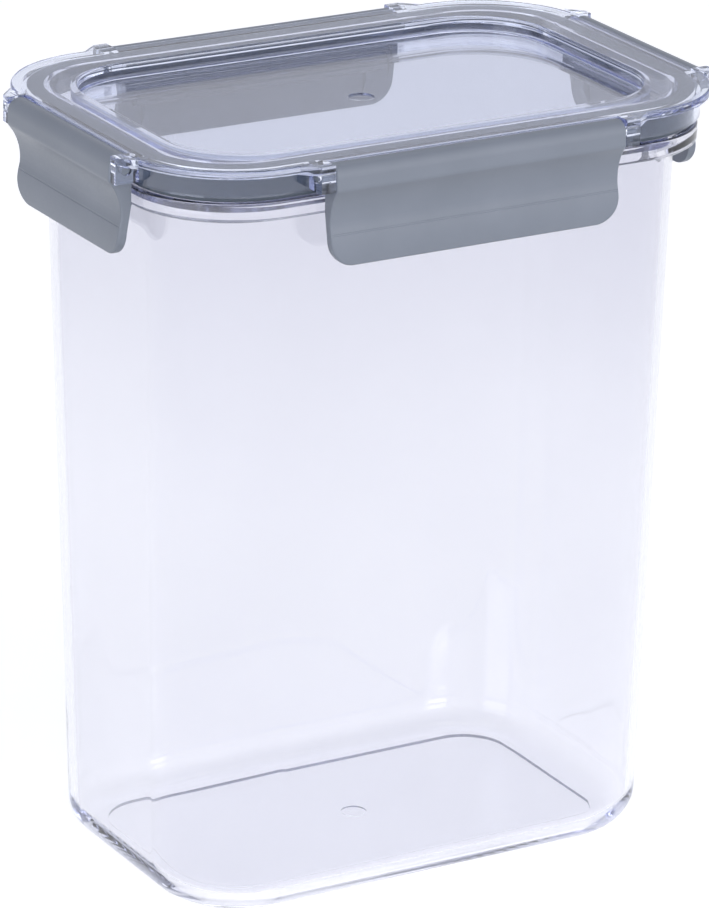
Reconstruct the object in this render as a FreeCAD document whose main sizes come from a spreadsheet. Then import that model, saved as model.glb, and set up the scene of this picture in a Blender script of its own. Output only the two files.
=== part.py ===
import FreeCAD, Part
import os
import Sketcher

# Food canister with a clip-on lid.  Millimetres, +Z up, the origin on the
# floor under the middle of the canister.  X runs along the long side.

V = FreeCAD.Vector
doc = FreeCAD.newDocument("food_canister")

DIMS = {
    # container body
    "base_len": 159.8, "base_wid": 102.4, "wall_corner": 28.7,
    "draft_grow": 4.3, "wall": 2.2, "floor_thick": 3.4,
    "base_round": 11.0, "floor_round": 9.0,
    "foot_len": 133.6, "foot_wid": 75.4, "foot_corner": 14.0, "foot_deep": 0.8,
    "gate_dia": 7.6, "gate_deep": 0.4,
    # stepped mouth of the container
    "collar_low": 214.1, "collar_high": 219.5, "collar_len": 178.8,
    "collar_wid": 121.4, "collar_corner": 30.4, "ledge": 2.1,
    "neck_inset": 3.0, "neck_high": 224.5, "neck_wall": 2.2,
    "catch_low": 213.2, "catch_high": 216.4, "catch_out": 0.8,
    "catch_long": 84.0, "catch_short": 54.0,
    # lid
    "lid_len": 186.0, "lid_wid": 128.6, "lid_corner": 34.0,
    "lid_top": 230.0, "rim_thick": 2.5,
    "skirt_inset": 3.0, "skirt_wall": 1.6, "skirt_low": 221.4,
    "plug_inset": 9.5, "plug_wall": 1.7, "plug_low": 220.8,
    "recess_len": 151.8, "recess_wid": 96.2, "recess_corner": 24.0,
    "recess_deep": 4.6, "panel_thick": 2.2, "pan_wall": 2.0,
    "ear_out": 4.0, "ear_low": 222.2, "ear_long": 4.4, "ear_short": 2.8,
    "ear_gap": 0.3, "gusset": 5.0,
    "rim_round": 0.7, "rim_back": 1.5, "recess_edge": 0.6, "recess_foot": 1.2,
    # hinge line, measured out from the lid edge
    "hinge_out": 0.6, "hinge_high": 226.0, "pin_rad": 1.5, "hole_rad": 1.55,
    "barrel_rad": 3.8, "cove_rad": 4.2,
    # flaps, heights measured down from the hinge line
    "flap_long": 93.0, "flap_short": 63.0,
    "face_out": 3.8, "crease_out": 3.9, "crease_down": 3.6, "crease_round": 2.0,
    "waist_down": 13.8, "waist_round": 15.3,
    "brow_out": 0.45, "brow_down": 16.6, "brow_round": 8.9,
    "groove_down": 17.0, "groove_out": 0.85, "groove_rad": 0.45,
    "lip_down": 26.5, "lip_out": 0.7, "lip_bulge": 24.0,
    "skin": 2.0, "lip_corner": 7.5, "outline_round": 0.6,
    "cheek": 1.8, "cheek_in": 3.1, "cheek_down": 19.8,
    "bead_in": 4.9, "bead_down": 13.0, "bead_thick": 2.4,
    "rib_from_end": 9.2, "rib_thick": 2.4, "rib_in": 3.9,
    # sealing ring
    "seal_gap": 0.1, "seal_air": 0.05, "seal_low": 224.6,
    "seal_lip": 1.6, "seal_lip_low": 219.8,
}

sheet = doc.addObject("Spreadsheet::Sheet", "dims")
for row, (alias, value) in enumerate(DIMS.items(), start=1):
    sheet.set("A%d" % row, alias)
    sheet.set("B%d" % row, repr(value))
    sheet.setAlias("B%d" % row, alias)
doc.recompute()


def new_body(name):
    """A PartDesign body that carries the node's name."""
    body = doc.addObject("PartDesign::Body", name)
    body.Label = name
    return body


def plane_of(body, role):
    """One of the body's own origin planes, found by its role."""
    for feature in body.Origin.OriginFeatures:
        if feature.Role == role:
            return feature
    raise ValueError(role)


def new_sketch(body, name, role="XY_Plane", offset="0"):
    """A sketch on an origin plane, shifted along its normal."""
    sketch = body.newObject("Sketcher::SketchObject", name)
    sketch.AttachmentSupport = [(plane_of(body, role), "")]
    sketch.MapMode = "FlatFace"
    sketch.setExpression(".AttachmentOffset.Base.z", offset)
    return sketch


def bind(sketch, kind, refs, value, expression):
    """Add one dimension and drive it from the sheet."""
    index = sketch.addConstraint(Sketcher.Constraint(kind, *refs, value))
    sketch.setExpression("Constraints[%d]" % index, expression)


def worth(expression):
    """The present value of a sheet expression."""
    return float(sheet.evalExpression(expression.replace("dims.", "")))


def rounded_rect(sketch, length, width, corner):
    """A rounded rectangle centred on the origin; arguments are expressions."""
    a = worth(length) / 2
    b = worth(width) / 2
    r = worth(corner)
    up = V(0, 0, 1)
    half_pi = 1.5707963267948966
    first = sketch.GeometryCount
    line = Part.LineSegment
    corners = [
        (line(V(r - a, -b), V(a - r, -b)), V(a - r, r - b), -half_pi),
        (line(V(a, r - b), V(a, b - r)), V(a - r, b - r), 0.0),
        (line(V(a - r, b), V(r - a, b)), V(r - a, b - r), half_pi),
        (line(V(-a, b - r), V(-a, r - b)), V(r - a, r - b), 2 * half_pi),
    ]
    for side, centre, start in corners:
        sketch.addGeometry(side, False)
        circle = Part.Circle(centre, up, r)
        sketch.addGeometry(Part.ArcOfCircle(circle, start, start + half_pi), False)
    rule = Sketcher.Constraint
    for step in range(8):
        here = first + step
        following = first + (step + 1) % 8
        sketch.addConstraint(rule("Tangent", here, 2, following, 1))
    sketch.addConstraint(rule("Horizontal", first))
    sketch.addConstraint(rule("Horizontal", first + 4))
    sketch.addConstraint(rule("Vertical", first + 2))
    sketch.addConstraint(rule("Vertical", first + 6))
    for step in (1, 3, 5):
        sketch.addConstraint(rule("Equal", first + step, first + step + 2))
    sketch.addConstraint(rule("Symmetric", first, 1, first + 4, 1, -1, 1))
    bind(sketch, "DistanceX", (first + 6, 1, first + 2, 1), 2 * a, length)
    bind(sketch, "DistanceY", (first, 1, first + 4, 1), 2 * b, width)
    bind(sketch, "Radius", (first + 1,), r, corner)


def outline(sketch, points):
    """A closed polygon; each corner is a pair of sheet expressions."""
    spots = [V(worth(x), worth(y), 0) for x, y in points]
    first = sketch.GeometryCount
    count = len(spots)
    for k in range(count):
        sketch.addGeometry(Part.LineSegment(spots[k], spots[(k + 1) % count]), False)
    for k in range(count):
        joined = (first + k, 2, first + (k + 1) % count, 1)
        sketch.addConstraint(Sketcher.Constraint("Coincident", *joined))
    for k, (x, y) in enumerate(points):
        place(sketch, first + k, 1, x, y)


def place(sketch, geo, end, x, y):
    """Hold one point of the sketch at a pair of sheet expressions."""
    for kind, expression in (("DistanceX", x), ("DistanceY", y)):
        bind(sketch, kind, (-1, 1, geo, end), worth(expression), expression)


def disc(sketch, x, y, radius):
    """A circle held by its centre and radius."""
    circle = Part.Circle(V(worth(x), worth(y), 0), V(0, 0, 1), worth(radius))
    geo = sketch.addGeometry(circle, False)
    place(sketch, geo, 3, x, y)
    bind(sketch, "Radius", (geo,), worth(radius), radius)


def swept(body, kind, name, sketch, length, both_ways=False, reverse=False):
    """A pad or a pocket of a sketch; the length is an expression."""
    feature = body.newObject("PartDesign::" + kind, name)
    feature.Profile = sketch
    feature.setExpression("Length", length)
    if both_ways:
        feature.SideType = "Symmetric"
    feature.Reversed = reverse
    sketch.Visibility = False
    doc.recompute()
    return feature


def between(body, kind, name, sections):
    """A loft through two sketches."""
    feature = body.newObject("PartDesign::" + kind, name)
    feature.Profile = sections[0]
    feature.Sections = [sections[1]]
    feature.Ruled = True
    doc.recompute()
    return feature


def edges_where(feature, test):
    """Names of the edges of a feature that pass a test."""
    return ["Edge%d" % (k + 1) for k, e in enumerate(feature.Shape.Edges) if test(e)]


def rounded(body, name, feature, test, radius):
    """A fillet on the edges of the last feature that pass a test."""
    names = edges_where(feature, test)
    fillet = body.newObject("PartDesign::Fillet", name)
    fillet.Base = (feature, names)
    fillet.setExpression("Radius", radius)
    doc.recompute()
    return fillet


def level(edge, height):
    """True when the whole edge lies at one height."""
    box = edge.BoundBox
    return abs(box.ZMin - height) < 1e-3 and abs(box.ZMax - height) < 1e-3


def level_of_any(edge, *heights):
    """True when the edge lies at one of these heights."""
    return any(level(edge, height) for height in heights)


def build_container():
    """Tapered tub with a stepped mouth, a collar and four catch ridges."""
    body = new_body("container")
    foot = new_sketch(body, "foot_outline")
    rounded_rect(foot, "dims.base_len", "dims.base_wid", "dims.wall_corner")
    shoulder = new_sketch(body, "shoulder_outline", offset="dims.collar_low")
    rounded_rect(shoulder, "dims.base_len + 2 * dims.draft_grow",
                 "dims.base_wid + 2 * dims.draft_grow", "dims.wall_corner")
    between(body, "AdditiveLoft", "tub", (foot, shoulder))

    collar = new_sketch(body, "collar_outline", offset="dims.collar_low")
    rounded_rect(collar, "dims.collar_len", "dims.collar_wid", "dims.collar_corner")
    swept(body, "Pad", "collar", collar, "dims.collar_high - dims.collar_low")

    neck = new_sketch(body, "neck_outline", offset="dims.collar_high")
    rounded_rect(neck, "dims.collar_len - 2 * dims.neck_inset",
                 "dims.collar_wid - 2 * dims.neck_inset",
                 "dims.collar_corner - dims.neck_inset")
    neck_pad = swept(body, "Pad", "neck", neck, "dims.neck_high - dims.collar_high")
    rounded(body, "collar_edges", neck_pad,
            lambda e: level_of_any(e, DIMS["collar_high"], DIMS["collar_low"])
            and on_outline(e, DIMS["collar_len"], DIMS["collar_wid"]), "0.7")

    catches = new_sketch(body, "catch_outline", offset="dims.catch_low")
    reach = "(dims.collar_%s / 2 + dims.catch_out)"
    run = "dims.catch_%s / 2"
    back = "(dims.collar_%s / 2 - 2)"
    for sign in ("", "-"):
        outline(catches, [
            ("-" + run % "long", sign + back % "wid"),
            (run % "long", sign + back % "wid"),
            (run % "long", sign + reach % "wid"),
            ("-" + run % "long", sign + reach % "wid")])
        outline(catches, [
            (sign + back % "len", "-" + run % "short"),
            (sign + back % "len", run % "short"),
            (sign + reach % "len", run % "short"),
            (sign + reach % "len", "-" + run % "short")])
    swept(body, "Pad", "catch_ridges", catches, "dims.catch_high - dims.catch_low")

    floor = new_sketch(body, "floor_outline", offset="dims.floor_thick")
    rounded_rect(floor, "dims.base_len - 2 * dims.wall",
                 "dims.base_wid - 2 * dims.wall", "dims.wall_corner - dims.wall")
    ceiling = new_sketch(body, "cavity_top_outline",
                         offset="dims.collar_low + dims.ledge + 0.2")
    rounded_rect(ceiling, "dims.base_len + 2 * (dims.draft_grow - dims.wall)",
                 "dims.base_wid + 2 * (dims.draft_grow - dims.wall)",
                 "dims.wall_corner - dims.wall")
    cavity = between(body, "SubtractiveLoft", "cavity", (floor, ceiling))
    rounded(body, "floor_edge", cavity,
            lambda e: level(e, DIMS["floor_thick"]), "dims.floor_round")
    mouth = new_sketch(body, "mouth_outline", offset="dims.neck_high")
    lost = "(dims.neck_inset + dims.neck_wall)"
    rounded_rect(mouth, "dims.collar_len - 2 * " + lost,
                 "dims.collar_wid - 2 * " + lost, "dims.collar_corner - " + lost)
    opened = swept(body, "Pocket", "mouth", mouth,
                   "dims.neck_high - dims.collar_low - dims.ledge")
    rounded(body, "base_edge", opened, lambda e: level(e, 0), "dims.base_round")

    foot_recess = new_sketch(body, "foot_recess_outline")
    rounded_rect(foot_recess, "dims.foot_len", "dims.foot_wid", "dims.foot_corner")
    swept(body, "Pocket", "foot_recess", foot_recess, "dims.foot_deep", reverse=True)
    gate = new_sketch(body, "gate_outline", offset="dims.foot_deep")
    disc(gate, "0", "0", "dims.gate_dia / 2")
    swept(body, "Pocket", "gate_mark", gate, "dims.gate_deep", reverse=True)
    return body


def on_outline(edge, length, width):
    """True when an edge belongs to the outline of a length by width rectangle."""
    box = edge.BoundBox
    reach_x = max(abs(box.XMin), abs(box.XMax))
    reach_y = max(abs(box.YMin), abs(box.YMax))
    return abs(reach_x - length / 2) < 0.02 or abs(reach_y - width / 2) < 0.02


def build_lid():
    """Flat rim, recessed panel, skirt, plug wall and eight hinge ears."""
    body = new_body("lid")
    rim = new_sketch(body, "rim_outline", offset="dims.lid_top")
    rounded_rect(rim, "dims.lid_len", "dims.lid_wid", "dims.lid_corner")
    rim_pad = swept(body, "Pad", "rim", rim, "dims.rim_thick", reverse=True)
    under_rim = DIMS["lid_top"] - DIMS["rim_thick"]
    rounded(body, "rim_edges", rim_pad,
            lambda e: level_of_any(e, DIMS["lid_top"], under_rim), "dims.rim_round")

    under = "dims.lid_top - dims.rim_thick"
    skirt = new_sketch(body, "skirt_outline", offset=under)
    for inset in ("dims.skirt_inset", "(dims.skirt_inset + dims.skirt_wall)"):
        rounded_rect(skirt, "dims.lid_len - 2 * " + inset,
                     "dims.lid_wid - 2 * " + inset, "dims.lid_corner - " + inset)
    swept(body, "Pad", "skirt", skirt, under + " - dims.skirt_low", reverse=True)

    plug = new_sketch(body, "plug_outline", offset=under)
    for inset in ("dims.plug_inset", "(dims.plug_inset + dims.plug_wall)"):
        rounded_rect(plug, "dims.lid_len - 2 * " + inset,
                     "dims.lid_wid - 2 * " + inset, "dims.lid_corner - " + inset)
    swept(body, "Pad", "plug_wall", plug, under + " - dims.plug_low", reverse=True)

    pan = new_sketch(body, "pan_outline", offset=under)
    rounded_rect(pan, "dims.recess_len + 2 * dims.pan_wall",
                 "dims.recess_wid + 2 * dims.pan_wall",
                 "dims.recess_corner + dims.pan_wall")
    swept(body, "Pad", "pan", pan,
          "dims.recess_deep + dims.panel_thick - dims.rim_thick", reverse=True)
    recess = new_sketch(body, "recess_outline", offset="dims.lid_top")
    rounded_rect(recess, "dims.recess_len", "dims.recess_wid", "dims.recess_corner")
    pocket = swept(body, "Pocket", "recess", recess, "dims.recess_deep")
    recess_floor = DIMS["lid_top"] - DIMS["recess_deep"]
    in_recess = lambda e: on_outline(e, DIMS["recess_len"], DIMS["recess_wid"])
    softened = rounded(body, "recess_foot", pocket,
                       lambda e: level(e, recess_floor) and in_recess(e), "dims.recess_foot")
    rounded(body, "recess_brim", softened,
            lambda e: level(e, DIMS["lid_top"]) and in_recess(e), "dims.recess_edge")

    notches = new_sketch(body, "notch_outline", offset="dims.lid_top")
    for size, across in (("long", "wid"), ("short", "len")):
        half = "(dims.flap_%s / 2 + dims.ear_gap)" % size
        back = "(dims.lid_%s / 2 - dims.rim_back)" % across
        front = "(dims.lid_%s / 2 + 1)" % across
        for sign in ("", "-"):
            strip = [("-" + half, sign + back), (half, sign + back),
                     (half, sign + front), ("-" + half, sign + front)]
            if size == "short":
                strip = [(y, x) for x, y in strip]
            outline(notches, strip)
    swept(body, "Pocket", "rim_notches", notches, "dims.rim_thick + 1")

    ears = new_sketch(body, "ear_outline", offset="dims.lid_top")
    gussets = new_sketch(body, "gusset_outline", offset="dims.lid_top")
    near = "(dims.flap_%s / 2 + dims.ear_gap)"
    for size, across, depth in (("long", "wid", "y"), ("short", "len", "x")):
        start = near % size
        end = "(%s + dims.ear_%s)" % (start, size)
        root = "(dims.lid_%s / 2 - dims.skirt_inset - 0.8)" % across
        edge = "(dims.lid_%s / 2 - 0.5)" % across
        tip = "(dims.lid_%s / 2 + dims.ear_out)" % across
        for a in ("", "-"):
            for b in ("", "-"):
                block = [(a + start, b + root), (a + end, b + root),
                         (a + end, b + tip), (a + start, b + tip)]
                flare = [(a + start, b + edge),
                         ("%s(%s + dims.gusset)" % (a, end), b + edge),
                         (a + end, b + tip), (a + start, b + tip)]
                if depth == "x":
                    block = [(y, x) for x, y in block]
                    flare = [(y, x) for x, y in flare]
                outline(ears, block)
                outline(gussets, flare)
    swept(body, "Pad", "ears", ears, "dims.lid_top - dims.ear_low", reverse=True)
    swept(body, "Pad", "gussets", gussets, "dims.rim_thick", reverse=True)

    for size, role, across in (("long", "YZ_Plane", "wid"), ("short", "XZ_Plane", "len")):
        axis = "(dims.lid_%s / 2 + dims.hinge_out)" % across
        room = "dims.flap_%s + 2 * dims.ear_gap" % size
        for side, sign in (("near", ""), ("far", "-")):
            for what, radius, length in (
                    ("cove", "dims.cove_rad", room),
                    ("hole", "dims.hole_rad", room + " + 2 * (dims.ear_long + 1)")):
                name = "%s_%s_%s" % (size, side, what)
                circle = new_sketch(body, name + "_outline", role)
                disc(circle, sign + axis, "dims.hinge_high", radius)
                swept(body, "Pocket", name, circle, length, both_ways=True)

    gate = new_sketch(body, "gate_outline", offset="dims.lid_top - dims.recess_deep")
    disc(gate, "0", "0", "dims.gate_dia / 2")
    swept(body, "Pocket", "gate_mark", gate, "dims.gate_deep")
    return body


def build_gasket():
    """Soft sealing ring in the groove, with a lip that hangs down outside the neck."""
    body = new_body("gasket")
    outer = "(dims.skirt_inset + dims.skirt_wall + dims.seal_gap)"
    ring = new_sketch(body, "ring_outline",
                      offset="dims.lid_top - dims.rim_thick - dims.seal_air")
    for inset in (outer, "(dims.plug_inset - dims.seal_gap)"):
        rounded_rect(ring, "dims.lid_len - 2 * " + inset,
                     "dims.lid_wid - 2 * " + inset, "dims.lid_corner - " + inset)
    swept(body, "Pad", "ring", ring,
          "dims.lid_top - dims.rim_thick - dims.seal_air - dims.seal_low", reverse=True)
    lip = new_sketch(body, "lip_outline", offset="dims.seal_low")
    for inset in (outer, "(%s + dims.seal_lip)" % outer):
        rounded_rect(lip, "dims.lid_len - 2 * " + inset,
                     "dims.lid_wid - 2 * " + inset, "dims.lid_corner - " + inset)
    hung = swept(body, "Pad", "lip", lip, "dims.seal_low - dims.seal_lip_low", reverse=True)
    rounded(body, "soft_edges", hung, lambda e: level(e, DIMS["seal_lip_low"]), "0.5")
    return body


def build_flap(name, size, turn, place_at):
    """One locking flap, modelled about its hinge line along local X."""
    body = new_body(name)
    length = "dims.flap_" + size
    # outward is local -Y, so a distance out from the hinge line is -y
    barrel = new_sketch(body, name + "_barrel_outline", "YZ_Plane")
    disc(barrel, "0", "0", "dims.barrel_rad")
    swept(body, "Pad", name + "_barrel", barrel, length, both_ways=True)

    skin = new_sketch(body, name + "_skin_outline", "YZ_Plane")
    skin_profile(skin)
    swept(body, "Pad", name + "_skin", skin, length, both_ways=True)

    cheek = [
        ("-2.2", "-4.3"), ("-1.9", "-0.8"), ("2.3", "-0.2"),
        ("dims.cheek_in", "-1.3"), ("dims.cheek_in", "-11.3"),
        ("dims.skin - 0.4", "-dims.cheek_down"), ("0.5", "-dims.cheek_down"),
        ("1", "-16.2"), ("0.4", "-10.3")]
    for side, offset in (("left", "-%s / 2" % length),
                         ("right", "%s / 2 - dims.cheek" % length)):
        sketch = new_sketch(body, "%s_%s_cheek_outline" % (name, side), "YZ_Plane", offset)
        outline(sketch, cheek)
        swept(body, "Pad", "%s_%s_cheek" % (name, side), sketch, "dims.cheek")

    bead = new_sketch(body, name + "_bead_outline", "YZ_Plane")
    low = "-dims.bead_down - dims.bead_thick"
    outline(bead, [
        ("0.9", "-dims.bead_down"),
        ("dims.bead_in - 0.4", "-dims.bead_down"),
        ("dims.bead_in", "-dims.bead_down - 0.4"),
        ("dims.bead_in", low + " + 0.9"),
        ("dims.bead_in - 1.2", low),
        ("1", low + " - 0.6")])
    swept(body, "Pad", name + "_bead", bead,
          "dims.catch_%s - 1" % size, both_ways=True)

    for side, middle in (("left", "-(%s / 2 - dims.rib_from_end)" % length),
                         ("right", "(%s / 2 - dims.rib_from_end)" % length)):
        rib = new_sketch(body, "%s_%s_rib_outline" % (name, side), "YZ_Plane",
                         middle + " - dims.rib_thick / 2")
        outline(rib, [
            ("1", "-14.8"), ("dims.rib_in", "-14.8"), ("dims.rib_in", "-17.8"),
            ("dims.skin - 0.6", "-23.3"), ("0.5", "-23.3")])
        swept(body, "Pad", "%s_%s_rib" % (name, side), rib, "dims.rib_thick")

    pins = new_sketch(body, name + "_pin_outline", "YZ_Plane")
    disc(pins, "0", "0", "dims.pin_rad")
    last = swept(body, "Pad", name + "_pins", pins,
                 "%s + 2 * (dims.ear_gap + dims.ear_%s - 0.8)" % (length, size),
                 both_ways=True)

    half = DIMS["flap_" + size] / 2
    foot = -DIMS["lip_down"]
    cornered = rounded(body, name + "_lip_corners", last,
                       lambda e: level(e, foot) and abs(abs(e.CenterOfMass.x) - half) < 1e-3,
                       "dims.lip_corner")
    creased = rounded(body, name + "_crease", cornered,
                      lambda e: runs_along(e, DIMS["crease_out"], DIMS["crease_down"], half),
                      "dims.crease_round")
    rounded(body, name + "_soft_outline", creased,
            lambda e: on_lip_outline(e, half, foot), "dims.outline_round")
    groove = new_sketch(body, name + "_groove_outline", "YZ_Plane")
    disc(groove, "-dims.groove_out", "-dims.groove_down", "dims.groove_rad")
    swept(body, "Pocket", name + "_groove", groove, length + " + 2", both_ways=True)
    body.Placement = FreeCAD.Placement(place_at, FreeCAD.Rotation(V(0, 0, 1), turn))
    return body


def runs_along(edge, out, down, half):
    """True for the straight edge along the whole flap at that place in its section."""
    box = edge.BoundBox
    at_y = abs(box.YMin + out) < 1e-3 and abs(box.YMax + out) < 1e-3
    return at_y and level(edge, -down) and box.XLength > 2 * half - 1


def on_lip_outline(edge, half, foot):
    """True for the outer edges of the skin round its ends and its lower side."""
    box = edge.BoundBox
    outside = box.YMax < 0.3 and box.ZMax < -0.5
    at_end = abs(abs(edge.CenterOfMass.x) - half) < 1e-3 and box.XLength < 1e-3
    at_foot = level(edge, foot)
    at_corner = box.ZMin > foot - 1e-3 and box.XLength > 5 and box.ZLength > 5
    return outside and (at_end or at_foot or at_corner)


def chain(sketch, steps):
    """A closed outline.  Each step is its start point and, for an arc, a radius and a side."""
    spots = [V(worth(x), worth(y), 0) for (x, y), *_ in steps]
    made = []
    for k, (_, *bend) in enumerate(steps):
        a = spots[k]
        b = spots[(k + 1) % len(spots)]
        piece = Part.LineSegment(a, b)
        if bend:
            radius = worth(bend[0])
            half = (b - a).Length / 2
            side = V(a.y - b.y, b.x - a.x, 0).normalize() * bend[1]
            rise = radius - (radius ** 2 - half ** 2) ** 0.5
            piece = Part.Arc(a, (a + b) * 0.5 + side * rise, b)
        geo = sketch.addGeometry(piece, False)
        started = sketch.getPoint(geo, 1).distanceToPoint(a) < 1e-6
        made.append((geo, 1 if started else 2))
    for k, ((x, y), *bend) in enumerate(steps):
        geo, first = made[k]
        following = made[(k + 1) % len(made)]
        sketch.addConstraint(Sketcher.Constraint("Coincident", geo, 3 - first, *following))
        place(sketch, geo, first, x, y)
        if bend:
            bind(sketch, "Radius", (geo,), worth(bend[0]), bend[0])


def skin_profile(sketch):
    """Outer skin: upright face, hollow waist, brow and bulging lip, about one thickness."""
    under_barrel = ("sqrt((dims.waist_round + dims.skin)^2 - (dims.waist_down - 2.2)^2)"
                    " - dims.waist_round")
    chain(sketch, [
        (("-dims.face_out", "0"),),
        (("-dims.crease_out", "-dims.crease_down"), "dims.waist_round", 1),
        (("0", "-dims.waist_down"), "dims.brow_round", 1),
        (("-dims.brow_out", "-dims.brow_down"), "dims.lip_bulge", -1),
        (("-dims.lip_out", "-dims.lip_down"),),
        (("dims.skin - dims.lip_out", "-dims.lip_down"),),
        (("dims.skin", "-dims.waist_down"), "dims.waist_round + dims.skin", -1),
        ((under_barrel, "-2.2"),),
        ((under_barrel, "0"),)])


long_line = DIMS["lid_wid"] / 2 + DIMS["hinge_out"]
short_line = DIMS["lid_len"] / 2 + DIMS["hinge_out"]
high = DIMS["hinge_high"]

nodes = [
    build_container(),
    build_lid(),
    build_gasket(),
    build_flap("front_flap", "long", 0, V(0, -long_line, high)),
    build_flap("right_flap", "short", 90, V(short_line, 0, high)),
    build_flap("back_flap", "long", 180, V(0, long_line, high)),
    build_flap("left_flap", "short", 270, V(-short_line, 0, high)),
]
doc.recompute()

for thing in doc.Objects:
    if "Invalid" in thing.State or "Error" in thing.State:
        raise RuntimeError("%s did not build: %s" % (thing.Name, thing.State))

for node in nodes[:3]:
    middle = node.Shape.Solids[0].CenterOfMass
    if abs(middle.x) > 0.01 or abs(middle.y) > 0.01:
        raise RuntimeError("%s is not the same on both sides" % node.Label)

os.makedirs("parts", exist_ok=True)
for node in nodes:
    if node.Shape.isNull() or not node.Shape.isValid() or len(node.Shape.Solids) != 1:
        raise RuntimeError("%s is not one sound solid" % node.Label)
    node.Shape.exportStep("parts/%s.step" % node.Label)
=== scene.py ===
"""Food canister: clear tub and lid, grey sealing ring and four grey flaps, on a pale floor."""
import math

import bpy
from mathutils import Matrix, Vector


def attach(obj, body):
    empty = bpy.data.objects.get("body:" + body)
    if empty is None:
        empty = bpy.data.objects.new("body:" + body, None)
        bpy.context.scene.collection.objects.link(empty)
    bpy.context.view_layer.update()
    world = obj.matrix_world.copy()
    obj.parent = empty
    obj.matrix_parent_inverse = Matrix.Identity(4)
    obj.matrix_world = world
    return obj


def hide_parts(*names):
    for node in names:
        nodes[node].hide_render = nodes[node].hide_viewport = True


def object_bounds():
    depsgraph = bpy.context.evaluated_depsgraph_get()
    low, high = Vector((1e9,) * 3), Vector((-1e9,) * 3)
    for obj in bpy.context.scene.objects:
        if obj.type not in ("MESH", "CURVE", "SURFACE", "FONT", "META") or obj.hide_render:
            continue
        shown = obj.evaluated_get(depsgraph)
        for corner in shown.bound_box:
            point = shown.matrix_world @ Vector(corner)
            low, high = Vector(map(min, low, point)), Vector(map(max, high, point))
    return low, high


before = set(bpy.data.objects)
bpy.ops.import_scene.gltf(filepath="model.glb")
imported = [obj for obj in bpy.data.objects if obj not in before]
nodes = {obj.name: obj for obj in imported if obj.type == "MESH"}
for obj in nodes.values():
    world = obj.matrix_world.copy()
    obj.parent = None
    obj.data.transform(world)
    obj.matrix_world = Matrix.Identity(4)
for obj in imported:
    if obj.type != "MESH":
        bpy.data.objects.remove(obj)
cad_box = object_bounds()


# ---------------------------------------------------------------- node helpers
NOISE_MIDDLE = (0.3, 0.7)       # where most of a noise's values lie


def new_material(name):
    """An empty node material and its node tree."""
    mat = bpy.data.materials.new(name)
    mat.use_nodes = True
    mat.node_tree.nodes.clear()
    return mat, mat.node_tree


def add(tree, kind, **settings):
    """A node of that kind with those settings."""
    node = tree.nodes.new(kind)
    for name, value in settings.items():
        setattr(node, name, value)
    return node


def noise(tree, scale, detail):
    """Noise fixed to the object, scale in features per metre."""
    coords = add(tree, "ShaderNodeTexCoord")
    tex = add(tree, "ShaderNodeTexNoise")
    tex.inputs["Scale"].default_value = scale
    tex.inputs["Detail"].default_value = detail
    tree.links.new(coords.outputs["Object"], tex.inputs["Vector"])
    return tex.outputs["Fac"]


def ramp(tree, fac, low, high):
    """A colour that runs from low to high over the middle of the noise's range."""
    node = add(tree, "ShaderNodeValToRGB")
    for stop, place, colour in zip(node.color_ramp.elements, NOISE_MIDDLE, (low, high)):
        stop.position = place
        stop.color = (*colour, 1.0)
    tree.links.new(fac, node.inputs["Fac"])
    return node.outputs["Color"]


def spread(tree, fac, low, high):
    """A number that runs from low to high over the middle of the noise's range."""
    node = add(tree, "ShaderNodeMapRange")
    node.inputs["From Min"].default_value, node.inputs["From Max"].default_value = NOISE_MIDDLE
    node.inputs["To Min"].default_value, node.inputs["To Max"].default_value = low, high
    tree.links.new(fac, node.inputs["Value"])
    return node.outputs["Result"]


def bump(tree, fac, height, strength, below=None):
    """A surface raised by fac, height in metres."""
    node = add(tree, "ShaderNodeBump")
    node.inputs["Strength"].default_value = strength
    node.inputs["Distance"].default_value = height
    tree.links.new(fac, node.inputs["Height"])
    if below is not None:
        tree.links.new(below, node.inputs["Normal"])
    return node.outputs["Normal"]


# ------------------------------------------------------------------ fine tub
# Millimetres.  The CAD mesh of the tub has corner facets wide enough to show as
# ripples in clear plastic, so the same shape is built here with narrow ones.
# A "half" is a half length, on the long side.
SHAPE_GAP = 28.7                                    # half length less half width
FOOT_HALF, WALL_CORNER, BASE_ROUND = 79.9, 28.7, 11.0
SHOULDER_HALF, SHOULDER_HIGH = 84.2, 214.1          # where the outer wall meets the collar
FLOOR_HIGH, FLOOR_ROUND = 3.4, 9.0
CAVITY_HALF, CAVITY_CORNER = 77.7, 26.5             # the inside, at its floor
CAVITY_TOP_HALF, CAVITY_HIGH, LEDGE_HIGH = 82.0, 216.4, 216.2
CATCH_LONG, CATCH_SHORT, CATCH_END = 42.0, 27.0, 0.006      # half ridges; end slope, as a share
COLLAR_HALF, COLLAR_CORNER = 89.4, 30.4
LIP_HALF, LIP_CORNER, LIP_ROUND = 88.7, 29.7, 0.7   # the collar's rounded outer edge
LIP_LOW, LIP_TOP, CATCH_LOW, CATCH_TOP = 214.8, 218.8, 213.2, 216.4
NECK_HALF, NECK_CORNER, NECK_LOW, NECK_TOP = 86.4, 27.4, 219.5, 224.5
MOUTH_HALF, MOUTH_CORNER = 84.2, 25.2
FOOT_RING, FOOT_RECESS = (66.8, 14.0, 37.7), 0.8    # half length, corner, half width; its depth
GATE_RADIUS, GATE_HIGH = 3.8, 1.2
CORNER_STEPS, ROUND_STEPS, WALL_STEPS, CATCH_STEPS = 40, 14, 12, 4
LIP_BENDS = (0.0, 0.4, 0.8, 1.2, 1.5708)


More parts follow.
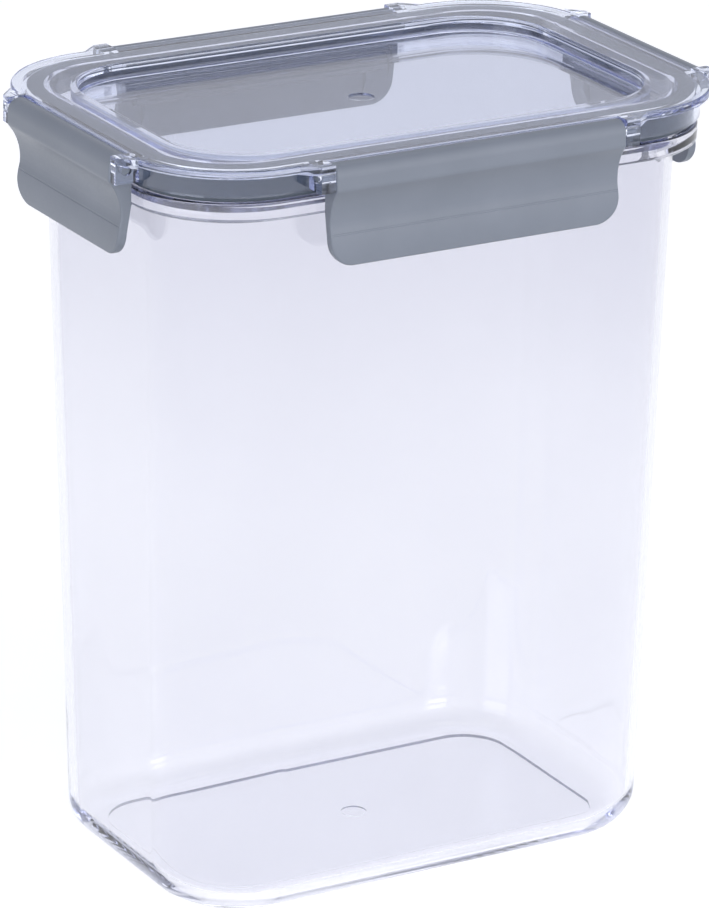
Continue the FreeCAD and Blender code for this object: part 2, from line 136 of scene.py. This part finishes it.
def section(a, corner, b=None):
    """Points round a rounded rectangle, and whether each point carries a catch ridge."""
    b = a - SHAPE_GAP if b is None else b
    flat_x, flat_y = a - corner, b - corner
    share_x = CATCH_LONG / (COLLAR_HALF - COLLAR_CORNER)
    share_y = CATCH_SHORT / (COLLAR_HALF - SHAPE_GAP - COLLAR_CORNER)
    points, on_catch = [], []

    def place(x, y, carries):
        points.append((x * math.cos(turn) - y * math.sin(turn),
                       x * math.sin(turn) + y * math.cos(turn)))
        on_catch.append(carries)

    for quarter in range(4):
        flat, depth, share = (flat_y, a, share_y) if quarter % 2 else (flat_x, b, share_x)
        turn = quarter * math.pi / 2
        spots = [(share * k / CATCH_STEPS, True) for k in range(-CATCH_STEPS, CATCH_STEPS + 1)]
        for part, carries in [(-share - CATCH_END, False), *spots, (share + CATCH_END, False)]:
            place(flat * part, -depth, carries)
        for k in range(CORNER_STEPS + 1):
            bend = math.pi / 2 * k / CORNER_STEPS
            place(flat + corner * math.sin(bend), corner - depth - corner * math.cos(bend), False)
    return points, on_catch


def rounded_foot(half, high, slope, radius, corner):
    """Stations of the round between a level floor and a leaning wall, floor first."""
    lean = math.atan(slope)
    centre = half + slope * radius - radius / math.cos(lean)
    made = []
    for k in range(ROUND_STEPS + 1):
        bend = -math.pi / 2 + (math.pi / 2 - lean) * k / ROUND_STEPS
        a = centre + radius * math.cos(bend)
        z = high + radius + radius * math.sin(bend)
        made.append((a, z, corner - (half + slope * (z - high) - a)))
    return made


def wall(half, high, slope, top, corner):
    """Stations up a leaning wall to the height top, the round at its foot left out."""
    return [(half + slope * high_up, high + high_up, corner)
            for high_up in ((top - high) * k / WALL_STEPS for k in range(2, WALL_STEPS + 1))]


def tub_stations():
    """Up the outside from the foot, over the brim and down the inside.

    A station is half length, height and corner, then half length and height on a catch ridge.
    """
    lean_out = (SHOULDER_HALF - FOOT_HALF) / SHOULDER_HIGH
    outside = rounded_foot(FOOT_HALF, 0.0, lean_out, BASE_ROUND, WALL_CORNER)
    outside += wall(FOOT_HALF, 0.0, lean_out, SHOULDER_HIGH, WALL_CORNER)
    under = [(85.6, SHOULDER_HIGH, 29.1, 85.6, SHOULDER_HIGH),
             (87.0, SHOULDER_HIGH, 29.6, 87.4, SHOULDER_HIGH),
             (88.0, SHOULDER_HIGH, 30.0, 87.4, CATCH_LOW),
             (LIP_HALF, SHOULDER_HIGH, LIP_CORNER, 88.0, CATCH_LOW)]
    turned = [(LIP_HALF + LIP_ROUND * math.sin(t), LIP_LOW - LIP_ROUND * math.cos(t),
               LIP_CORNER + LIP_ROUND * math.sin(t), 88.8 + 1.4 * t / LIP_BENDS[-1], CATCH_LOW)
              for t in LIP_BENDS[1:]]
    collar = [(COLLAR_HALF, 216.2, COLLAR_CORNER, 90.2, CATCH_TOP),
              (COLLAR_HALF, 216.6, COLLAR_CORNER, COLLAR_HALF, CATCH_TOP)]
    shoulder = [(LIP_HALF + LIP_ROUND * math.cos(t), LIP_TOP + LIP_ROUND * math.sin(t),
                 LIP_CORNER + LIP_ROUND * math.cos(t)) for t in LIP_BENDS]
    neck = [(NECK_HALF, NECK_LOW, NECK_CORNER), (NECK_HALF, NECK_TOP, NECK_CORNER),
            (MOUTH_HALF, NECK_TOP, MOUTH_CORNER), (MOUTH_HALF, LEDGE_HIGH, MOUTH_CORNER)]
    lean_in = (CAVITY_TOP_HALF - CAVITY_HALF) / (CAVITY_HIGH - FLOOR_HIGH)
    inside = rounded_foot(CAVITY_HALF, FLOOR_HIGH, lean_in, FLOOR_ROUND, CAVITY_CORNER)
    inside += wall(CAVITY_HALF, FLOOR_HIGH, lean_in, LEDGE_HIGH, CAVITY_CORNER)
    return outside + under + turned + collar + shoulder + neck + inside[::-1]


def build_tub():
    """The clear tub as one closed skin of narrow faces."""
    foot, _ = section(*FOOT_RING)
    gate = [(GATE_RADIUS * x / math.hypot(x, y), GATE_RADIUS * y / math.hypot(x, y))
            for x, y in foot]
    rings = [[(x, y, z) for x, y in outline] for outline, z in
             ((gate, GATE_HIGH), (gate, FOOT_RECESS), (foot, FOOT_RECESS), (foot, 0.0))]
    for a, z, corner, *ridge in tub_stations():
        points, on_catch = section(a, corner)
        ridge_a, ridge_z = ridge or (a, z)
        ridge_points, _ = section(ridge_a, corner + ridge_a - a)
        rings.append([(*there, ridge_z) if carries else (*here, z)
                      for here, there, carries in zip(points, ridge_points, on_catch)])
    count = len(rings[0])
    verts = [(x / 1000, y / 1000, z / 1000) for ring in rings for x, y, z in ring]
    faces = [list(range(count))[::-1]]
    for row in range(len(rings) - 1):
        for k in range(count):
            low, high = row * count, (row + 1) * count
            following = (k + 1) % count
            faces.append([low + k, low + following, high + following, high + k])
    last = (len(rings) - 1) * count
    faces.append([last + k for k in range(count)])
    mesh = bpy.data.meshes.new("clear_tub")
    mesh.from_pydata(verts, [], faces)
    mesh.validate()
    mesh.polygons.foreach_set("use_smooth", [True] * len(mesh.polygons))
    mesh.set_sharp_from_angle(angle=math.radians(25.0))
    tub = bpy.data.objects.new("clear_tub", mesh)
    bpy.context.scene.collection.objects.link(tub)
    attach(tub, "container")
    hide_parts("container")
    return tub


# ------------------------------------------------------------------- materials
# Metres.
PAINTED_SHADE_FROM, PAINTED_SHADE_TO = 0.1, 0.215                 # heights on the tub between which its painted shade deepens
PANEL_HALVES = (("X", 0.076), ("Y", 0.048))     # the lid's sunken panel
PANEL_BLEND = 0.001                             # half the width of the change in painted shade at its edge
CLEAR_IOR = 1.57
PAPER_GLOW, PAPER_GLOW_ON_FLAPS = 0.42, 0.5


def painted_shade_to_mouth(tree):
    """0 low on the tub, rising to 1 at its mouth: where the tub gets painted shade for the darker
    look of its wall under the collar.
    """
    coords = add(tree, "ShaderNodeTexCoord")
    split = add(tree, "ShaderNodeSeparateXYZ")
    rise = add(tree, "ShaderNodeMapRange", interpolation_type="SMOOTHSTEP")
    rise.inputs["From Min"].default_value = PAINTED_SHADE_FROM
    rise.inputs["From Max"].default_value = PAINTED_SHADE_TO
    tree.links.new(coords.outputs["Object"], split.inputs[0])
    tree.links.new(split.outputs["Z"], rise.inputs["Value"])
    return rise.outputs["Result"]


def painted_panel_shade(tree):
    """1 over the lid's sunken panel, 0 on its rim and ears: the panel gets painted shade, and the
    rim and ears, left lighter, a painted highlight.
    """
    coords = add(tree, "ShaderNodeTexCoord")
    split = add(tree, "ShaderNodeSeparateXYZ")
    tree.links.new(coords.outputs["Object"], split.inputs[0])
    within = add(tree, "ShaderNodeMath", operation="MULTIPLY")
    for k, (axis, half) in enumerate(PANEL_HALVES):
        size = add(tree, "ShaderNodeMath", operation="ABSOLUTE")
        share = add(tree, "ShaderNodeMapRange")
        share.inputs["From Min"].default_value = half + PANEL_BLEND
        share.inputs["From Max"].default_value = half - PANEL_BLEND
        tree.links.new(split.outputs[axis], size.inputs[0])
        tree.links.new(size.outputs[0], share.inputs["Value"])
        tree.links.new(share.outputs["Result"], within.inputs[k])
    return within.outputs[0]


def clear_plastic(name, low, high, tint, density, shade, painted_shade_colour, where):
    """Polished clear moulding with faint waviness, which lamps shine straight through.

    Its colour runs from low to high, multiplied in the region that where() gives by a darker
    colour: painted shade, not a tint of the plastic.
    tint and density colour it with depth; shade is what it takes from a lamp's light.
    """
    mat, tree = new_material(name)
    out = add(tree, "ShaderNodeOutputMaterial")
    body = add(tree, "ShaderNodeBsdfPrincipled")
    body.inputs["IOR"].default_value = CLEAR_IOR
    body.inputs["Transmission Weight"].default_value = 1.0
    cloud = noise(tree, 22.0, 2.0)
    # painted shade: darkens the colour over the region that where() gives
    painted_darkening = add(tree, "ShaderNodeMix", data_type="RGBA", blend_type="MULTIPLY")
    tree.links.new(where(tree), painted_darkening.inputs[0])
    tree.links.new(ramp(tree, cloud, low, high), painted_darkening.inputs[6])
    painted_darkening.inputs[7].default_value = (*painted_shade_colour, 1.0)
    tree.links.new(painted_darkening.outputs[2], body.inputs["Base Color"])
    fine = noise(tree, 160.0, 3.0)
    tree.links.new(spread(tree, fine, 0.0, 0.02), body.inputs["Roughness"])
    wave = noise(tree, 14.0, 0.0)
    tree.links.new(bump(tree, wave, 0.0001, 0.05), body.inputs["Normal"])
    lamps = add(tree, "ShaderNodeBsdfTransparent")
    lamps.inputs["Color"].default_value = (*shade, 1.0)
    path = add(tree, "ShaderNodeLightPath")
    mix = add(tree, "ShaderNodeMixShader")
    tree.links.new(path.outputs["Is Shadow Ray"], mix.inputs[0])
    tree.links.new(body.outputs[0], mix.inputs[1])
    tree.links.new(lamps.outputs[0], mix.inputs[2])
    tree.links.new(mix.outputs[0], out.inputs["Surface"])
    depth = add(tree, "ShaderNodeVolumeAbsorption")
    depth.inputs["Color"].default_value = (*tint, 1.0)
    depth.inputs["Density"].default_value = density
    tree.links.new(depth.outputs[0], out.inputs["Volume"])
    return mat


def flap_plastic():
    """Satin grey moulding with a fine spark-eroded grain."""
    mat, tree = new_material("satin_grey_plastic")
    out = add(tree, "ShaderNodeOutputMaterial")
    body = add(tree, "ShaderNodeBsdfPrincipled")
    cloud = noise(tree, 45.0, 4.0)
    colour = ramp(tree, cloud, (0.192, 0.213, 0.255), (0.212, 0.234, 0.28))
    tree.links.new(colour, body.inputs["Base Color"])
    grain = noise(tree, 1800.0, 2.0)
    tree.links.new(spread(tree, grain, 0.3, 0.4), body.inputs["Roughness"])
    wave = bump(tree, noise(tree, 60.0, 1.0), 0.0002, 0.3)
    tree.links.new(bump(tree, grain, 0.00003, 0.35, below=wave), body.inputs["Normal"])
    tree.links.new(body.outputs[0], out.inputs["Surface"])
    return mat


def seal_rubber():
    """Grey silicone with a faint haze."""
    mat, tree = new_material("grey_silicone_rubber")
    out = add(tree, "ShaderNodeOutputMaterial")
    body = add(tree, "ShaderNodeBsdfPrincipled")
    cloud = noise(tree, 70.0, 4.0)
    colour = ramp(tree, cloud, (0.045, 0.06, 0.084), (0.058, 0.074, 0.1))
    tree.links.new(colour, body.inputs["Base Color"])
    haze = noise(tree, 150.0, 2.0)
    tree.links.new(spread(tree, haze, 0.16, 0.22), body.inputs["Roughness"])
    tree.links.new(body.outputs[0], out.inputs["Surface"])
    return mat


def floor_paper():
    """Pale matt studio paper that glows a little, and lights dull surfaces less than it shows."""
    mat, tree = new_material("pale_paper")
    out = add(tree, "ShaderNodeOutputMaterial")
    body = add(tree, "ShaderNodeBsdfPrincipled")
    cloud = noise(tree, 1.5, 2.0)
    colour = ramp(tree, cloud, (0.86, 0.86, 0.87), (0.88, 0.88, 0.885))
    tree.links.new(colour, body.inputs["Base Color"])
    body.inputs["Roughness"].default_value = 0.9
    body.inputs["Specular IOR Level"].default_value = 0.1
    body.inputs["Emission Color"].default_value = (1.0, 1.0, 1.0, 1.0)
    body.inputs["Emission Strength"].default_value = PAPER_GLOW
    dim = add(tree, "ShaderNodeEmission")
    dim.inputs["Color"].default_value = (0.9, 0.93, 1.0, 1.0)
    dim.inputs["Strength"].default_value = PAPER_GLOW_ON_FLAPS
    path = add(tree, "ShaderNodeLightPath")
    mix = add(tree, "ShaderNodeMixShader")
    tree.links.new(path.outputs["Is Diffuse Ray"], mix.inputs[0])
    tree.links.new(body.outputs[0], mix.inputs[1])
    tree.links.new(dim.outputs[0], mix.inputs[2])
    tree.links.new(mix.outputs[0], out.inputs["Surface"])
    return mat


def dress(node, mat):
    """Gives a CAD node its material."""
    mesh = nodes[node].data
    if not mesh.materials:
        mesh.materials.append(mat)
    for i in range(len(mesh.materials)):
        mesh.materials[i] = mat


# The tub's colour is painted darker towards its mouth: painted shade for the darker look of its
# upper wall under the collar.
tub_mat = clear_plastic("clear_tub_plastic", (0.905, 0.905, 0.935), (0.92, 0.92, 0.948),
                        (0.55, 0.6, 0.9), 4.0, (0.97, 0.972, 0.985),
                        (0.885, 0.885, 0.908), painted_shade_to_mouth)
# The lid's panel is painted darker than its rim and ears: painted shade on the panel, with the rim
# and ears left lighter as a painted highlight.
lid_mat = clear_plastic("clear_lid_plastic", (0.79, 0.825, 0.925), (0.81, 0.845, 0.94),
                        (0.5, 0.56, 0.85), 8.0, (0.95, 0.955, 0.97),
                        (0.91, 0.915, 0.935), painted_panel_shade)
flap_mat = flap_plastic()
build_tub().data.materials.append(tub_mat)
dress("container", tub_mat)
dress("lid", lid_mat)
dress("gasket", seal_rubber())
for side in ("front", "back", "left", "right"):
    dress(side + "_flap", flap_mat)


# ---------------------------------------------------------------- floor, light
FLOOR_RADIUS, FLOOR_SIDES, FLOOR_DROP = 6.0, 96, 0.0002
LAMP_AIM, LAMP_COLOUR = (0.0, 0.0, 0.12), (0.95, 0.97, 1.0)
# What the world shows at three heights, from level to nearly overhead.
WORLD_BANDS = ((0.1, (0.9, 0.91, 0.95)), (0.45, (0.68, 0.7, 0.78)), (0.9, (0.2, 0.21, 0.24)))
WORLD_LIGHT = 0.9
# The world's bright side: where it is, how wide (a cosine), and how much light it adds.
BRIGHT_WAY, BRIGHT_FROM, BRIGHT_LIGHT = (0.12, -0.96, 0.26), 0.35, 1.1
# Degrees, millimetres of lens, metres.
CAMERA_YAW, CAMERA_PITCH, CAMERA_ROLL = -29.852, 20.057, 0.739
LENS, SENSOR, CAMERA_AWAY, CAMERA_HIGH = 220.36, 36.0, 1.62913, 0.115
CAMERA_RIGHT, CAMERA_UP = -0.0006, 0.00137
LIGHT_BOUNCES = 96      # with fewer, light caught in the tub's walls runs out and leaves dark lines


def add_floor():
    """A wide flat disc of pale paper under the foot."""
    mesh = bpy.data.meshes.new("floor")
    ring = [Vector((FLOOR_RADIUS * math.cos(a), FLOOR_RADIUS * math.sin(a), 0.0))
            for a in (math.tau * i / FLOOR_SIDES for i in range(FLOOR_SIDES))]
    mesh.from_pydata(ring, [], [list(range(FLOOR_SIDES))])
    floor = bpy.data.objects.new("floor", mesh)
    bpy.context.scene.collection.objects.link(floor)
    mesh.materials.append(floor_paper())
    floor.location.z = cad_box[0][2] - FLOOR_DROP


def add_softbox(name, azimuth, elevation, distance, size, power, mirrored=True):
    """A large lamp facing the canister's middle; unless mirrored, it leaves no reflection."""
    a = math.radians(azimuth)
    e = math.radians(elevation)
    away = Vector((math.sin(a) * math.cos(e), -math.cos(a) * math.cos(e), math.sin(e)))
    lamp = bpy.data.lights.new(name, "AREA")
    lamp.shape = "RECTANGLE"
    lamp.size, lamp.size_y = size
    lamp.energy = power
    lamp.color = LAMP_COLOUR
    holder = bpy.data.objects.new(name, lamp)
    holder.location = Vector(LAMP_AIM) + away * distance
    holder.rotation_euler = away.to_track_quat("Z", "Y").to_euler()
    holder.visible_camera = False
    holder.visible_glossy = mirrored
    bpy.context.scene.collection.objects.link(holder)


def add_world():
    """Studio light from all round: brightest in front and low down, dim towards the ceiling."""
    world = bpy.data.worlds.new("studio")
    world.use_nodes = True
    tree = world.node_tree
    back = tree.nodes["Background"]
    coords = add(tree, "ShaderNodeTexCoord")
    split = add(tree, "ShaderNodeSeparateXYZ")
    fade = add(tree, "ShaderNodeValToRGB")
    fade.color_ramp.elements.new(0.5)
    for stop, (place, colour) in zip(fade.color_ramp.elements, WORLD_BANDS):
        stop.position, stop.color = place, (*colour, 1.0)
    ahead = add(tree, "ShaderNodeVectorMath", operation="DOT_PRODUCT")
    ahead.inputs[1].default_value = BRIGHT_WAY
    lobe = add(tree, "ShaderNodeMapRange", interpolation_type="SMOOTHSTEP")
    lobe.inputs["From Min"].default_value = BRIGHT_FROM
    lobe.inputs["To Max"].default_value = BRIGHT_LIGHT
    total = add(tree, "ShaderNodeMix", data_type="RGBA", blend_type="ADD")
    total.inputs[0].default_value = 1.0
    tree.links.new(coords.outputs["Generated"], split.inputs[0])
    tree.links.new(split.outputs["Z"], fade.inputs["Fac"])
    tree.links.new(coords.outputs["Generated"], ahead.inputs[0])
    tree.links.new(ahead.outputs["Value"], lobe.inputs["Value"])
    tree.links.new(fade.outputs["Color"], total.inputs[6])
    tree.links.new(lobe.outputs["Result"], total.inputs[7])
    tree.links.new(total.outputs[2], back.inputs["Color"])
    back.inputs["Strength"].default_value = WORLD_LIGHT
    bpy.context.scene.world = world


def add_camera():
    """The view: from the front left, a little above, with a long lens."""
    yaw, pitch, roll = (math.radians(a) for a in (CAMERA_YAW, CAMERA_PITCH, CAMERA_ROLL))
    back = Vector((math.sin(yaw) * math.cos(pitch), -math.cos(yaw) * math.cos(pitch),
                   math.sin(pitch)))
    right = Vector((0.0, 0.0, 1.0)).cross(back).normalized()
    up = back.cross(right)
    right, up = (right * math.cos(roll) + up * math.sin(roll),
                 up * math.cos(roll) - right * math.sin(roll))
    data = bpy.data.cameras.new("camera")
    data.lens = LENS
    data.sensor_width = SENSOR
    data.clip_end = 50.0
    camera = bpy.data.objects.new("camera", data)
    turn = Matrix((right, up, back)).transposed().to_4x4()
    place = (Vector((0.0, 0.0, CAMERA_HIGH)) + back * CAMERA_AWAY
             + right * CAMERA_RIGHT + up * CAMERA_UP)
    camera.matrix_world = Matrix.Translation(place) @ turn
    bpy.context.scene.collection.objects.link(camera)
    bpy.context.scene.camera = camera


add_floor()
add_world()
add_softbox("key", -75.0, 16.0, 1.6, (1.0, 0.7), 5.5)
add_softbox("front", 8.0, 6.0, 1.9, (1.0, 0.5), 7.0, mirrored=False)
add_softbox("back", 150.0, 66.0, 1.7, (0.9, 0.7), 2.5)
add_camera()
bpy.context.scene.view_settings.view_transform = "Standard"
bpy.context.scene.cycles.max_bounces = LIGHT_BOUNCES
bpy.context.scene.cycles.transmission_bounces = LIGHT_BOUNCES
bpy.context.scene.cycles.glossy_bounces = LIGHT_BOUNCES
